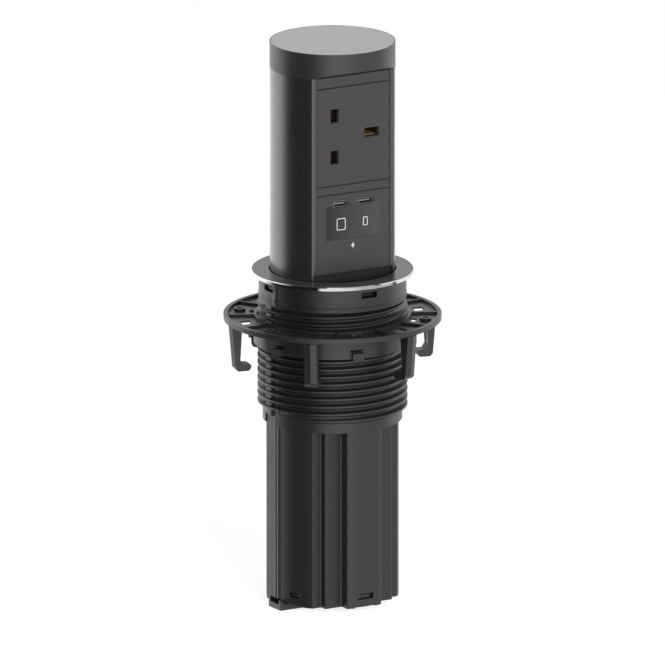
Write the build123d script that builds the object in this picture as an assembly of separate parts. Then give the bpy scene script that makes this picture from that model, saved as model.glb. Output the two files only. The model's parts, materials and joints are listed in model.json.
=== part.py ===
from build123d import *
import math
import os

# Pop up desk socket, in millimetres, drawn with its tower raised.
# +Z is up, the socket face looks along -Y and +X is to the right of somebody facing it.
# The origin is on the tower's axis at the worktop's surface, where the bezel seats.
# Heights are measured from that surface, and a name that ends in _z is such a height.

# Clearances and cutting
running_gap = 0.3
slip_gap = 0.15
pin_gap = 0.05
overrun = 1.0
tiny = 0.01

# Small hidden screws, their holes and their columns are drawn as prisms with this many sides
small_sides = 12

# Tower: a D shaped extrusion with an open front, where the modules slide in
tower_r = 32.65
tower_flat = 21.6
tower_wall = 1.8
tower_low_z = -14.0
travel = 122.0
corner_r = 0.9
window_half = 22.2
port_r = 2.6
port_hole_r = 1.35
port_x_rear = 19.4
port_y_rear = 20.8
port_x_front = 27.1
port_y_front = -8.8

# Face modules, one above the other behind the tower's lips, up to the tower's top
usb_low_z = 4.7
usb_module_high = 42.35
middle_blank_high = 4.8
socket_module_high = 52.65
top_blank_high = 6.1
plate_gap = 0.1
plate_thick = 3.2
tongue_wide = 1.4
tongue_thick = 1.1
plate_edge = 0.4
joint_gap = 0.1
lower_blank_set_back = 1.2

# Cap that closes the hole when the tower is down
cap_proud = 0.15
cap_high = 13.5
cap_plate = 1.7
cap_rim = 0.4
overhang_rise = 3.8
overhang_bulge = 0.5
disc_gap = 0.1
disc_thick = 1.2

# Screws that hold the cap and the foot to the tower
screw_r = 1.2
screw_hole_r = 1.4
screw_head_r = 2.3
screw_head_high = 2.0
screw_head_gap = 0.2
screw_reach = 10.0

# Three pin socket, turned so that the earth pin is on the right
pin_pitch = 22.2
pin_rise = 26.45
live_slot_wide = 4.6
live_slot_high = 7.0
earth_slot_wide = 8.6
earth_slot_high = 4.7
slot_lead = 0.35

# Housing behind the socket's plate, its shutter and its contacts
base_half = 20.6
base_margin = 1.4
base_deep = 21.0
shutter_room = 1.8
shutter_thick = 1.2
shutter_cover_wide = 6.4
shutter_cover_high = 33.0
shutter_arm_high = 5.0
shutter_travel = 5.5
shutter_ramp_wide = 1.6
shutter_lug_deep = 3.0
shutter_lug_thick = 1.2
lug_room_high = 3.6
spring_post_r = 0.6
spring_post_long = 3.6
shutter_spring_r = 1.5
shutter_spring_bore = 0.8
shutter_spring_short = 3.4
chamber_margin = 1.2
chamber_deep = 16.0
contact_thick = 0.8
contact_gap = 0.4

# Two charging ports, their glossy window and their board
port_pitch = 14.8
port_drop = 5.15
port_wide = 8.94
port_high = 3.26
port_wall = 0.3
port_deep = 7.2
port_set_back = 0.6
port_clear = 0.25
port_tongue_wide = 6.6
port_tongue_thick = 0.7
port_tongue_deep = 5.0
port_heel = 1.0
window_panel_half = 16.0
window_panel_high = 18.0
window_drop = 6.05
window_thick = 1.0
board_half = 20.0
board_thick = 1.6
board_margin = 2.5
coil_half = 7.0
coil_deep = 9.0
coil_low_share = 0.12
coil_high_share = 0.45
can_r = 4.0
can_long = 11.0
can_x = 12.5
can_low_share = 0.3
can_high_share = 0.7

# Bezel with its spigot, and the gasket in its underside
bezel_wide = 9.3
bezel_thick = 2.1
bezel_round = 0.7
bore_gap = 0.5
spigot_wall = 2.7
spigot_deep = 11.6
gasket_inset = 3.8
gasket_wide = 1.4
gasket_deep = 0.9
gasket_gap = 0.05

# Threaded collar through the worktop, with snap windows for the bezel
collar_wall = 2.25
collar_smooth_z = -13.0
thread_rise = 0.65
thread_lead = 0.9
thread_end_z = -72.9
band_wall = 1.6
collar_low_z = -78.0
snap_wide = 9.2
snap_high = 3.1
snap_z = -4.3
snap_gap = 0.2
snap_count = 4
hook_reach = 1.6
locator_angle = 189.0
locator_half = 0.6
locator_proud = 0.5
locator_long = 4.0

# Guide ring that the tower runs in, under the spigot
guide_thick = 3.5
guide_gap = 0.3

# Barrel below the worktop, in a front and a rear shell
barrel_wall = 1.6
barrel_low_z = -173.2
flat_wall = 1.45
pad_half = 20.3
pad_reach = 5.9
rib_half = 10.4
rib_proud = 0.1
pad_wall = 1.5
step_r = 0.8
land_proud = 0.4
land_front = -4.0
land_rear = 8.0
seam_y = 2.0
land_groove_y = -2.0
land_groove_wide = 1.0
land_groove_deep = 0.5
latch_window_z = -167.3
latch_window_high = 3.1
front_window_wide = 9.5
side_window_wide = 7.0
side_window_angle = 65.0
rear_window_angle = 130.0
bottom_notch_high = 1.1
bottom_notch_share = 1.25

# End cap with the cable outlet on its left
cap_floor = 1.8
cap_wall = 1.4
cap_wall_high = 7.4
cap_hook = 1.1
outlet_x = 35.8
outlet_low = 3.5
outlet_front = -7.5
outlet_rear = 4.5
outlet_wall = 1.6
outlet_floor = 0.8
outlet_inner_x = 13.5
outlet_mouth_high = 4.6
grip_x = 22.0
grip_half = 3.0
grip_thick = 2.4
grip_ear = 5.0
grip_screw_r = 1.1
grip_head_r = 2.0
grip_head_high = 1.4
grip_screw_deep = 1.2

# Push and release latch on the end cap
latch_half = 9.0
latch_y = 14.0
latch_deep_half = 7.0
latch_high = 9.9
latch_wall = 1.2
latch_cavity_half = 6.5
plunger_half = 4.0
plunger_flange_half = 5.6
plunger_flange_high = 1.0
plunger_stroke = 3.2
plunger_proud = 1.7
latch_spring_r = 3.2
latch_spring_bore = 2.4
ear_long = 5.0
ear_high = 2.0
ear_screw_r = 1.1
ear_head_r = 1.9
ear_head_high = 1.3

# Foot of the tower, which carries the damper and the spring reels
foot_high = 22.0
foot_wall = 3.0
foot_floor = 2.8
foot_core_front = 11.4
plug_high = 6.0
plug_wall = 1.4
striker_r = 2.5
striker_high = 1.5
cable_hole_half = 9.0
cable_hole_front = -6.0
cable_hole_rear = 8.0
mech_drop = 12.0

# Rotary damper with its pinion, and the rack that it runs on
gear_module = 1.0
pinion_teeth = 10
pressure_angle = 20.0
gear_backlash = 0.2
rack_addendum_share = 0.7
rack_dedendum_share = 1.15
pinion_addendum_share = 0.8
pinion_root_share = 0.74
pinion_wide = 3.4
pinion_reach = 9.4
pinion_neck_share = 0.12
rack_edge = 0.2
rack_end_gap = 0.8
rack_low_spare = 9.0
damper_r = 7.0
damper_reach = 5.5
damper_inside = 9.0
damper_shaft_r = 1.2
damper_shaft_long = 2.2

# Two constant force spring reels with their strips
reel_x = 14.0
reel_inside = 2.2
reel_half = 3.1
drum_r = 5.2
reel_bore_r = 1.25
reel_pin_r = 1.2
reel_pin_half = 4.9
reel_room = 0.3
cheek_thick = 1.0
cheek_reach = 4.0
strip_half = 2.5
strip_thick = 0.3

# Clamp ring that runs up the collar to the worktop's underside
clamp_hub_wall = 1.6
clamp_flange_wide = 15.8
clamp_top_z = -22.1
clamp_rim_wide = 2.2
clamp_rim_high = 2.7
clamp_floor = 1.0
clamp_skirt_high = 15.1
clamp_rib_count = 12
clamp_rib_half = 0.55
clamp_rib_low = 0.2
clamp_sector = 6
boss_inset = 7.4
boss_r = 3.0
boss_hole_r = 1.75
finger_angle = 18.0
finger_half = 3.0
finger_long = 3.1
finger_high = 3.6
finger_window_half = 3.4
finger_window_high = 3.0
finger_window_gap = 0.5
leg_angle = 48.0
leg_half = 3.4
leg_inset = 0.9
leg_deep = 5.5
leg_lean = 2.0
leg_long = 26.9
leg_side = 1.4
leg_web_in = 1.2
leg_web = 1.4
leg_foot_high = 2.2
hook_long = 5.9
hook_high = 4.5
hook_nose = 1.4
hook_root = 1.6
core_gap = 0.3

# The tower's heights, from the modules that it holds
usb_high_z = usb_low_z + usb_module_high
middle_high_z = usb_high_z + middle_blank_high
socket_high_z = middle_high_z + socket_module_high
tower_top_z = socket_high_z + top_blank_high
lip_end_z = usb_low_z + running_gap
socket_z = middle_high_z + pin_rise
port_z = usb_high_z - port_drop
window_high_z = usb_high_z - window_drop
window_low_z = window_high_z - window_panel_high
cap_top_z = tower_top_z + cap_high
foot_low_z = tower_low_z - foot_high
mech_z = tower_low_z - mech_drop

# The other heights
guide_top_z = -spigot_deep - guide_gap
guide_low_z = guide_top_z - guide_thick
barrel_top_z = guide_low_z - guide_gap
cap_floor_z = barrel_low_z + cap_floor
clamp_low_z = clamp_top_z - clamp_rim_high
clamp_skirt_z = clamp_top_z - clamp_skirt_high
leg_low_z = clamp_top_z - leg_long

# Radii, from the tower outwards
inner_r = tower_r - tower_wall
cap_r = tower_r + cap_proud
disc_r = cap_r - cap_rim - disc_gap
bore_r = cap_r + bore_gap
spigot_r = bore_r + spigot_wall
bezel_r = bore_r + bezel_wide
gasket_in_r = bezel_r - gasket_inset
gasket_out_r = gasket_in_r + gasket_wide
barrel_in_r = tower_r + running_gap + pin_gap
barrel_r = barrel_in_r + barrel_wall
rib_out_r = barrel_r + rib_proud
land_out = barrel_r + land_proud
collar_bore_r = barrel_r + running_gap
band_r = collar_bore_r + band_wall
collar_r = spigot_r + running_gap + collar_wall
thread_r = collar_r + thread_rise
clamp_bore_r = thread_r + running_gap
clamp_hub_r = clamp_bore_r + clamp_hub_wall
clamp_r = clamp_hub_r + clamp_flange_wide
finger_out_r = clamp_hub_r + finger_long
boss_at = clamp_r - boss_inset
leg_out_r = clamp_r - leg_inset
leg_in_r = leg_out_r - leg_deep
hook_r = leg_in_r - hook_long

# Distances in front of the axis, from the tower's flat
inner_flat = tower_flat - tower_wall
plate_back = tower_flat - plate_thick
flat_in = tower_flat + running_gap + pin_gap
flat_out = flat_in + flat_wall
pad_out = tower_flat + pad_reach
cheek_out = tower_flat + cheek_reach
pinion_front = -tower_flat - pinion_reach
damper_front = -tower_flat - damper_reach
damper_rear = -tower_flat + damper_inside
reel_y = -tower_flat + reel_inside

# Across and round
plate_half = window_half - plate_gap
live_x = -pin_pitch / 2
earth_x = pin_pitch / 2
pitch_r = gear_module * pinion_teeth / 2
rack_pitch = math.pi * gear_module
ports = [(port_x_rear, port_y_rear), (-port_x_rear, port_y_rear),
         (port_x_front, port_y_front), (-port_x_front, port_y_front)]


def post(radius, low, high, x=0.0, y=0.0):
    """Upright cylinder between two heights."""
    upright = (Align.CENTER, Align.CENTER, Align.MIN)
    return Pos(x, y, low) * Cylinder(radius, high - low, align=upright)


def block(x_low, x_high, y_low, y_high, z_low, z_high):
    """Box between two corners."""
    corner = (Align.MIN, Align.MIN, Align.MIN)
    return Pos(x_low, y_low, z_low) * Box(x_high - x_low, y_high - y_low, z_high - z_low, align=corner)


def sleeve(outer, inner, low, high):
    """Plain ring between two heights."""
    return post(outer, low, high) - post(inner, low - overrun, high + overrun)


def bar_y(radius, y_low, y_high, x, z):
    """Cylinder that lies along Y."""
    middle = (y_low + y_high) / 2
    return Pos(x, middle, z) * Rot(90, 0, 0) * Cylinder(radius, y_high - y_low)


def bar_x(radius, x_low, x_high, y, z):
    """Cylinder that lies along X."""
    middle = (x_low + x_high) / 2
    return Pos(middle, y, z) * Rot(0, 90, 0) * Cylinder(radius, x_high - x_low)


def turned(points):
    """Solid of revolution about Z from a closed outline of radius and height."""
    outline = make_face(Polyline([(r, 0, z) for r, z in points], close=True))
    return revolve(outline, axis=Axis.Z)


def spun(shape, degrees):
    return Rot(0, 0, degrees) * shape


def upward(face, low, high):
    """Prism from a face in the XY plane."""
    return Pos(0, 0, low) * extrude(face, high - low)


def d_face(radius, flat, rounding=0.0):
    """Circle with its front cut to a flat."""
    keep = Pos(0, -flat) * Rectangle(2 * (radius + overrun), 2 * radius + overrun, align=(Align.CENTER, Align.MIN))
    face = Circle(radius) & keep
    if rounding:
        face = fillet(face.vertices().sort_by(Axis.Y)[:2], rounding)
    return face


def stud(radius, low, high, x=0.0, y=0.0):
    """Upright prism with few sides, for a small screw, its hole or the column round it."""
    return Pos(x, y) * upward(RegularPolygon(radius, small_sides), low, high)


def screw(radius, head_radius, head_high, length):
    """Screw whose head stands on the plane z = 0 and whose shank points down."""
    return stud(head_radius, 0, head_high) + stud(radius, -length, 0)


def make_tower_profile():
    shape = upward(d_face(tower_r, tower_flat, corner_r), tower_low_z, tower_top_z)
    shape -= upward(d_face(inner_r, inner_flat), tower_low_z - overrun, tower_top_z + overrun)
    front = -tower_r
    shape -= block(-window_half, window_half, front, -plate_back, tower_low_z - overrun, tower_top_z + overrun)
    lip = math.sqrt(inner_r ** 2 - inner_flat ** 2)
    shape -= block(-lip, lip, front, -inner_flat, tower_low_z - overrun, lip_end_z)
    for x, y in ports:
        shape += stud(port_r, tower_low_z, tower_top_z, x, y)
    for x, y in ports:
        shape -= stud(port_hole_r, tower_low_z - overrun, tower_top_z + overrun, x, y)
    return shape


def make_cap_ring():
    plate_top = cap_top_z - disc_thick
    shape = post(cap_r, tower_top_z, cap_top_z)
    shape -= post(cap_r - cap_rim, plate_top, cap_top_z + overrun)
    shape -= upward(d_face(inner_r, inner_flat), tower_top_z - overrun, plate_top - cap_plate)
    edge = cap_r + overrun
    start = (0, -tower_flat - joint_gap, tower_top_z)
    end = (0, -edge, tower_top_z + overhang_rise)
    middle = (0, (start[1] + end[1]) / 2, (start[2] + end[2]) / 2 + overhang_bulge)
    under = (0, -edge, tower_top_z - overrun)
    corner = (0, start[1], tower_top_z - overrun)
    outline = make_face(ThreePointArc(start, middle, end) + Polyline([end, under, corner, start]))
    shape -= extrude(outline, edge, dir=(1, 0, 0), both=True)
    for x, y in ports:
        shape += stud(port_r + screw_hole_r, tower_top_z, plate_top - cap_plate / 2, x, y)
    for x, y in ports:
        shape -= stud(screw_hole_r, tower_top_z - overrun, cap_top_z, x, y)
        shape -= stud(screw_head_r + screw_head_gap, plate_top - screw_head_high - screw_head_gap, cap_top_z, x, y)
    return shape


def make_top_disc():
    return post(disc_r, cap_top_z - disc_thick, cap_top_z)


def make_cap_screws():
    seat_z = cap_top_z - disc_thick - screw_head_high - screw_head_gap
    length = seat_z - tower_top_z + screw_reach
    one = screw(screw_r, screw_head_r, screw_head_high, length)
    return [Pos(x, y, seat_z) * one for x, y in ports]


def face_plate(low, high):
    """Module front: a slab flush with the lips and a tongue behind each lip."""
    shape = block(-plate_half, plate_half, -tower_flat, -plate_back, low, high)
    shape = chamfer(shape.faces().sort_by(Axis.Y)[0].edges(), plate_edge)
    tongue = plate_half + tongue_wide
    return shape + block(-tongue, tongue, -plate_back - tongue_thick, -plate_back, low, high)


def make_top_blank():
    return face_plate(socket_high_z + joint_gap, tower_top_z - joint_gap)


def make_middle_blank():
    return face_plate(usb_high_z + joint_gap, middle_high_z)


def make_lower_blank():
    half = plate_half + tongue_wide
    front = tower_flat - lower_blank_set_back
    return block(-half, half, -front, -plate_back, tower_low_z + joint_gap, usb_low_z - joint_gap)


def pin_slots():
    """Centre, width and height of the three slots."""
    live = (live_slot_wide, live_slot_high)
    return [(live_x, socket_z + pin_pitch / 2, *live), (live_x, socket_z - pin_pitch / 2, *live),
            (earth_x, socket_z, earth_slot_wide, earth_slot_high)]


def make_socket_plate():
    shape = face_plate(middle_high_z + joint_gap, socket_high_z)
    for x, z, wide, high in pin_slots():
        front = -tower_flat - overrun
        shape -= block(x - wide / 2, x + wide / 2, front, -plate_back + overrun, z - high / 2, z + high / 2)
        lead = block(x - wide / 2 - slot_lead, x + wide / 2 + slot_lead, front, -tower_flat + slot_lead,
                     z - high / 2 - slot_lead, z + high / 2 + slot_lead)
        shape -= lead
    return shape


def make_socket_base():
    front = -plate_back + shutter_room
    low, high = middle_high_z + base_margin, socket_high_z - base_margin
    shape = block(-base_half, base_half, front, front + base_deep, low, high)
    for x, z, wide, high_slot in pin_slots():
        half_w, half_h = wide / 2 + chamber_margin, high_slot / 2 + chamber_margin
        shape -= block(x - half_w, x + half_w, front - overrun, front + chamber_deep, z - half_h, z + half_h)
    lug_left = spring_left_x() - shutter_lug_thick
    lug_right = arm_end_x() + running_gap
    half = lug_room_high / 2
    room = block(lug_left, lug_right, front - overrun, front + shutter_lug_deep + running_gap,
                 socket_z - half, socket_z + half)
    shape -= room
    rail = shutter_cover_high / 2 + running_gap
    back = -plate_back
    for side in (-1, 1):
        low_rail, high_rail = sorted((socket_z + side * rail, socket_z + side * (rail + base_margin)))
        shape += block(-base_half, base_half, back, front, low_rail, high_rail)
    return shape + bar_x(spring_post_r, lug_left, lug_left + spring_post_long, spring_y(), socket_z)


def arm_end_x():
    """Right end of the shutter's arm, at the left side of the earth slot."""
    return earth_x - earth_slot_wide / 2


def spring_left_x():
    return arm_end_x() - shutter_lug_thick - shutter_travel - shutter_spring_short - running_gap


def spring_y():
    return -plate_back + shutter_room + shutter_lug_deep / 2


def make_socket_shutter():
    front = -plate_back + (shutter_room - shutter_thick) / 2
    back = front + shutter_thick
    half = shutter_cover_wide / 2
    shape = block(live_x - half, live_x + half, front, back,
                  socket_z - shutter_cover_high / 2, socket_z + shutter_cover_high / 2)
    arm = shutter_arm_high / 2
    shape += block(live_x, arm_end_x(), front, back, socket_z - arm, socket_z + arm)
    end = arm_end_x()
    ramp = [(end, front), (end + shutter_ramp_wide, back), (end, back)]
    wedge = make_face(Polyline([(x, y, socket_z - arm) for x, y in ramp], close=True))
    shape += extrude(wedge, shutter_arm_high, dir=(0, 0, 1))
    lug = lug_room_high / 2 - running_gap
    return shape + block(end - shutter_lug_thick, end, back, back + shutter_lug_deep, socket_z - lug, socket_z + lug)


def make_shutter_spring():
    left = spring_left_x() - shutter_lug_thick
    return (bar_x(shutter_spring_r, left, left + shutter_spring_short, spring_y(), socket_z)
            - bar_x(shutter_spring_bore, left - overrun, left + shutter_spring_short + overrun, spring_y(), socket_z))


def make_contact(index):
    """Folded brass clip on the far side of its chamber, with two jaws beside the pin's path."""
    x, z, wide, high = pin_slots()[index]
    front = -plate_back + shutter_room + contact_gap
    back = -plate_back + shutter_room + chamber_deep
    if index < 2:
        half = high / 2 + chamber_margin - contact_gap
        gap = wide / 2
        shape = block(x - gap - contact_thick, x + gap + contact_thick, back - contact_thick, back, z - half, z + half)
        for side in (-1, 1):
            low, high_x = sorted((x + side * gap, x + side * (gap + contact_thick)))
            shape += block(low, high_x, front, back, z - half, z + half)
        return shape
    half = wide / 2 + chamber_margin - contact_gap
    gap = high / 2
    shape = block(x - half, x + half, back - contact_thick, back, z - gap - contact_thick, z + gap + contact_thick)
    for side in (-1, 1):
        low, high_z = sorted((z + side * gap, z + side * (gap + contact_thick)))
        shape += block(x - half, x + half, front, back, low, high_z)
    return shape


def slot_prism(wide, high, y_low, y_high, x, z):
    """Prism with round ends that lies along Y."""
    face = Plane((x, y_low, z), x_dir=(1, 0, 0), z_dir=(0, 1, 0)) * SlotOverall(wide, high)
    return extrude(face, y_high - y_low)


def port_places():
    return [-port_pitch / 2, port_pitch / 2]


def port_hole(x, depth_back):
    wide, high = port_wide + 2 * port_clear, port_high + 2 * port_clear
    return slot_prism(wide, high, -tower_flat - overrun, depth_back, x, port_z)


def make_usb_plate():
    shape = face_plate(usb_low_z, usb_high_z)
    shape -= block(-window_panel_half - plate_gap, window_panel_half + plate_gap, -tower_flat - overrun,
                   -tower_flat + window_thick, window_low_z - plate_gap, window_high_z + plate_gap)
    for x in port_places():
        shape -= port_hole(x, -plate_back + overrun)
    return shape


def make_usb_window():
    shape = block(-window_panel_half, window_panel_half, -tower_flat, -tower_flat + window_thick,
                  window_low_z, window_high_z)
    for x in port_places():
        shape -= port_hole(x, -plate_back)
    return shape


def make_usb_port(x):
    front = -tower_flat + port_set_back
    back = front + port_deep
    shape = slot_prism(port_wide, port_high, front, back, x, port_z)
    inside_wide, inside_high = port_wide - 2 * port_wall, port_high - 2 * port_wall
    shape -= slot_prism(inside_wide, inside_high, front - overrun, back - port_heel, x, port_z)
    half = port_tongue_wide / 2
    thick = port_tongue_thick / 2
    return shape + block(x - half, x + half, back - port_heel - port_tongue_deep, back - port_heel / 2,
                         port_z - thick, port_z + thick)


def make_usb_board():
    front = -tower_flat + port_set_back + port_deep
    back = front + board_thick
    low, high = usb_low_z + board_margin, usb_high_z - joint_gap
    span = high - low
    shape = block(-board_half, board_half, front, back, low, high)
    coil_low, coil_high = low + coil_low_share * span, low + coil_high_share * span
    shape += block(-coil_half, coil_half, back, back + coil_deep, coil_low, coil_high)
    for share in (can_low_share, can_high_share):
        shape += bar_y(can_r, back, back + can_long, can_x, low + share * span)
    return shape


def make_bezel_ring():
    """Flat ring with a broken outer edge, a spigot down the hole and a groove for the gasket."""
    top = [(bezel_r, bezel_thick - bezel_round), (bezel_r - bezel_round, bezel_thick), (bore_r, bezel_thick)]
    spigot = [(bore_r, -spigot_deep), (spigot_r, -spigot_deep), (spigot_r, 0)]
    groove = [(gasket_in_r, 0), (gasket_in_r, gasket_deep), (gasket_out_r, gasket_deep), (gasket_out_r, 0)]
    shape = turned(top + spigot + groove + [(bezel_r, 0)])
    half_w, half_h = snap_wide / 2 - snap_gap, snap_high / 2 - snap_gap
    hook = block(spigot_r - barrel_wall, spigot_r + hook_reach, -half_w, half_w, snap_z - half_h, snap_z + half_h)
    return shape + [spun(hook, 360.0 * index / snap_count) for index in range(snap_count)]


def make_bezel_gasket():
    return sleeve(gasket_out_r - gasket_gap, gasket_in_r + gasket_gap, 0, gasket_deep)


def make_threaded_collar():
    """The thread's crests are the outside here, and its turns are left to the finish."""
    outside = [(collar_r, 0), (collar_r, collar_smooth_z), (thread_r, collar_smooth_z - thread_lead),
               (thread_r, thread_end_z + thread_lead), (band_r, thread_end_z), (band_r, collar_low_z)]
    inside = [(collar_bore_r, collar_low_z), (collar_bore_r, guide_low_z),
              (spigot_r + running_gap, guide_low_z), (spigot_r + running_gap, 0)]
    shape = turned(outside + inside)
    key_x, gap = land_out + running_gap, running_gap
    for side in (-1, 1):
        near, far = sorted((side * barrel_in_r, side * key_x))
        shape -= block(near, far, land_front - gap, land_rear + gap, collar_low_z - overrun, guide_low_z)
        near, far = sorted((side * barrel_in_r, side * thread_r))
        shape -= block(near, far, land_front - gap, land_rear + gap, collar_low_z - overrun, thread_end_z)
    window = block(barrel_in_r, thread_r + overrun, -snap_wide / 2, snap_wide / 2,
                   snap_z - snap_high / 2, snap_z + snap_high / 2)
    for index in range(snap_count):
        shape -= spun(window, 360.0 * index / snap_count)
    locator = block(collar_r - barrel_wall, collar_r + locator_proud, -locator_half, locator_half,
                    collar_smooth_z, collar_smooth_z + locator_long)
    return shape + spun(locator, locator_angle)


def make_guide_ring():
    outer = post(spigot_r + running_gap - slip_gap, guide_low_z, guide_top_z)
    return outer - upward(d_face(tower_r + running_gap, tower_flat + running_gap), guide_low_z - overrun,
                          guide_top_z + overrun)


def barrel_face(shrink=0.0, inner=False):
    """Barrel's section: round at the back, with two pads and a middle rib at the front."""
    if inner:
        radius, flat = barrel_in_r - shrink, flat_in - shrink
        pad_x, pad_y = pad_half - pad_wall - shrink, pad_out - pad_wall - shrink
        rib_x, rib_r = rib_half - pad_wall - shrink, rib_out_r - pad_wall - shrink
    else:
        radius, flat, pad_x, pad_y, rib_x, rib_r = barrel_r, flat_out, pad_half, pad_out, rib_half, rib_out_r
    reach = 2 * (radius + overrun)
    ahead = (Align.CENTER, Align.MIN)
    body = Circle(radius) & (Pos(0, -flat) * Rectangle(reach, reach, align=ahead))
    pad = Circle(radius) & (Pos(0, -pad_y) * Rectangle(2 * pad_x, pad_y, align=ahead))
    rib = Circle(rib_r) & (Pos(0, -rib_r) * Rectangle(2 * rib_x, rib_r, align=ahead))
    face = body + pad + rib
    if inner:
        return face
    corners = [v for v in face.vertices() if v.Y < -flat + tiny and abs(v.X) < pad_x + tiny]
    face = fillet(corners, step_r)
    lands = Pos(0, land_front) * Rectangle(2 * land_out, land_rear - land_front, align=ahead)
    return face + lands


def barrel_windows():
    """Azimuth and width of each snap window near the bottom."""
    side = [(270.0 - a, side_window_wide) for a in (side_window_angle, -side_window_angle)]
    rear = [(270.0 - a, side_window_wide) for a in (rear_window_angle, -rear_window_angle)]
    return [(270.0, front_window_wide)] + side + rear


def barrel_shell():
    shape = upward(barrel_face(), barrel_low_z, barrel_top_z)
    shape -= upward(barrel_face(inner=True), barrel_low_z - overrun, barrel_top_z + overrun)
    inside = barrel_in_r - barrel_wall
    for azimuth, wide in barrel_windows():
        shape -= spun(block(inside, land_out, -wide / 2, wide / 2, latch_window_z - latch_window_high / 2,
                            latch_window_z + latch_window_high / 2), azimuth)
        notch = wide * bottom_notch_share / 2
        shape -= spun(block(inside, land_out, -notch, notch, barrel_low_z - overrun,
                            barrel_low_z + bottom_notch_high), azimuth)
    for side in (-1, 1):
        near, far = sorted((side * (land_out - land_groove_deep), side * (land_out + overrun)))
        half = land_groove_wide / 2
        shape -= block(near, far, land_groove_y - half, land_groove_y + half, barrel_low_z - overrun,
                       barrel_top_z + overrun)
    outlet = block(-land_out - overrun, -inside, outlet_front - slip_gap, outlet_rear + slip_gap,
                   barrel_low_z - overrun, barrel_low_z - outlet_low + outlet_floor + outlet_mouth_high + slip_gap)
    return shape - outlet


def make_barrel_front_shell():
    reach = land_out + overrun
    return barrel_shell() & block(-reach, reach, -reach, seam_y, barrel_low_z, barrel_top_z)


def make_barrel_rear_shell():
    reach = land_out + overrun
    return barrel_shell() & block(-reach, reach, seam_y, reach, barrel_low_z, barrel_top_z)


def make_end_cap():
    shape = upward(barrel_face(slip_gap, inner=True), barrel_low_z, cap_floor_z + cap_wall_high)
    shape -= upward(barrel_face(slip_gap + cap_wall, inner=True), cap_floor_z, cap_floor_z + cap_wall_high + overrun)
    half_h = latch_window_high / 2 - snap_gap
    for azimuth, wide in barrel_windows():
        half_w = wide / 2 - snap_gap
        hook = block(barrel_in_r - cap_wall, barrel_in_r + cap_hook, -half_w, half_w,
                     latch_window_z - half_h, latch_window_z + half_h)
        shape += spun(hook, azimuth)
    bottom = barrel_low_z - outlet_low
    mouth_top = bottom + outlet_floor + outlet_mouth_high
    shape += block(-outlet_x, -outlet_inner_x, outlet_front, outlet_rear, bottom, cap_floor_z)
    shape += block(-outlet_x, -barrel_in_r + cap_wall, outlet_front, outlet_rear, bottom, mouth_top)
    shape -= block(-outlet_x - overrun, -outlet_inner_x - outlet_wall, outlet_front + outlet_wall,
                   outlet_rear - outlet_wall, bottom + outlet_floor, mouth_top + overrun)
    shape -= block(-outlet_x - overrun, -barrel_in_r - slip_gap, outlet_front - overrun, outlet_rear + overrun,
                   mouth_top, cap_floor_z + cap_wall_high + overrun)
    for x, y in grip_screw_places():
        shape -= stud(grip_screw_r, cap_floor_z - grip_screw_deep, cap_floor_z + overrun, x, y)
    for x in latch_screw_places():
        shape -= stud(ear_screw_r, cap_floor_z - grip_screw_deep, cap_floor_z + overrun, x, latch_y)
    return shape


def grip_screw_places():
    middle = (outlet_front + outlet_rear) / 2
    half = (outlet_rear - outlet_front) / 2 + grip_ear / 2
    return [(-grip_x, middle - half), (-grip_x, middle + half)]


def make_cable_clamp():
    """Bar across the cable trough, held by two screws."""
    low, high = outlet_front - grip_ear, outlet_rear + grip_ear
    shape = block(-grip_x - grip_half, -grip_x + grip_half, low, high, cap_floor_z, cap_floor_z + grip_thick)
    for x, y in grip_screw_places():
        shape -= stud(grip_screw_r + pin_gap, cap_floor_z - overrun, cap_floor_z + grip_thick + overrun, x, y)
    return shape


def make_cable_clamp_screws():
    one = screw(grip_screw_r - pin_gap, grip_head_r, grip_head_high, grip_thick + grip_screw_deep - tiny)
    return [Pos(x, y, cap_floor_z + grip_thick) * one for x, y in grip_screw_places()]


def latch_screw_places():
    return [-latch_half - ear_long / 2, latch_half + ear_long / 2]


def make_latch_case():
    top = cap_floor_z + latch_high
    shape = block(-latch_half, latch_half, latch_y - latch_deep_half, latch_y + latch_deep_half, cap_floor_z, top)
    cavity = latch_cavity_half
    depth = latch_deep_half - latch_wall
    shape -= block(-cavity, cavity, latch_y - depth, latch_y + depth, cap_floor_z + latch_wall, top - latch_wall)
    mouth = plunger_half + running_gap
    shape -= block(-mouth, mouth, latch_y - mouth, latch_y + mouth, top - latch_wall - tiny, top + overrun)
    for x in latch_screw_places():
        half = ear_long / 2
        ear = block(x - half, x + half, latch_y - half, latch_y + half, cap_floor_z, cap_floor_z + ear_high)
        shape += ear
    for x in latch_screw_places():
        shape -= stud(ear_screw_r + pin_gap, cap_floor_z - overrun, cap_floor_z + ear_high + overrun, x, latch_y)
    return shape


def make_latch_screws():
    one = screw(ear_screw_r - pin_gap, ear_head_r, ear_head_high, ear_high + grip_screw_deep - tiny)
    return [Pos(x, latch_y, cap_floor_z + ear_high) * one for x in latch_screw_places()]


def plunger_flange_z():
    return cap_floor_z + latch_high - latch_wall - running_gap - plunger_flange_high


def make_latch_plunger():
    low = plunger_flange_z()
    flange, stem = plunger_flange_half, plunger_half
    depth = latch_deep_half - latch_wall - running_gap
    shape = block(-flange, flange, latch_y - depth, latch_y + depth, low, low + plunger_flange_high)
    top = cap_floor_z + latch_high + plunger_proud
    stalk = block(-stem, stem, latch_y - stem, latch_y + stem, low, top)
    stalk = chamfer(stalk.faces().sort_by(Axis.Z)[-1].edges(), plate_edge)
    return shape + stalk


def make_latch_spring():
    low = cap_floor_z + latch_wall
    ring = post(latch_spring_r, low, plunger_flange_z(), 0, latch_y)
    return ring - post(latch_spring_bore, low - overrun, plunger_flange_z() + overrun, 0, latch_y)


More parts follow.
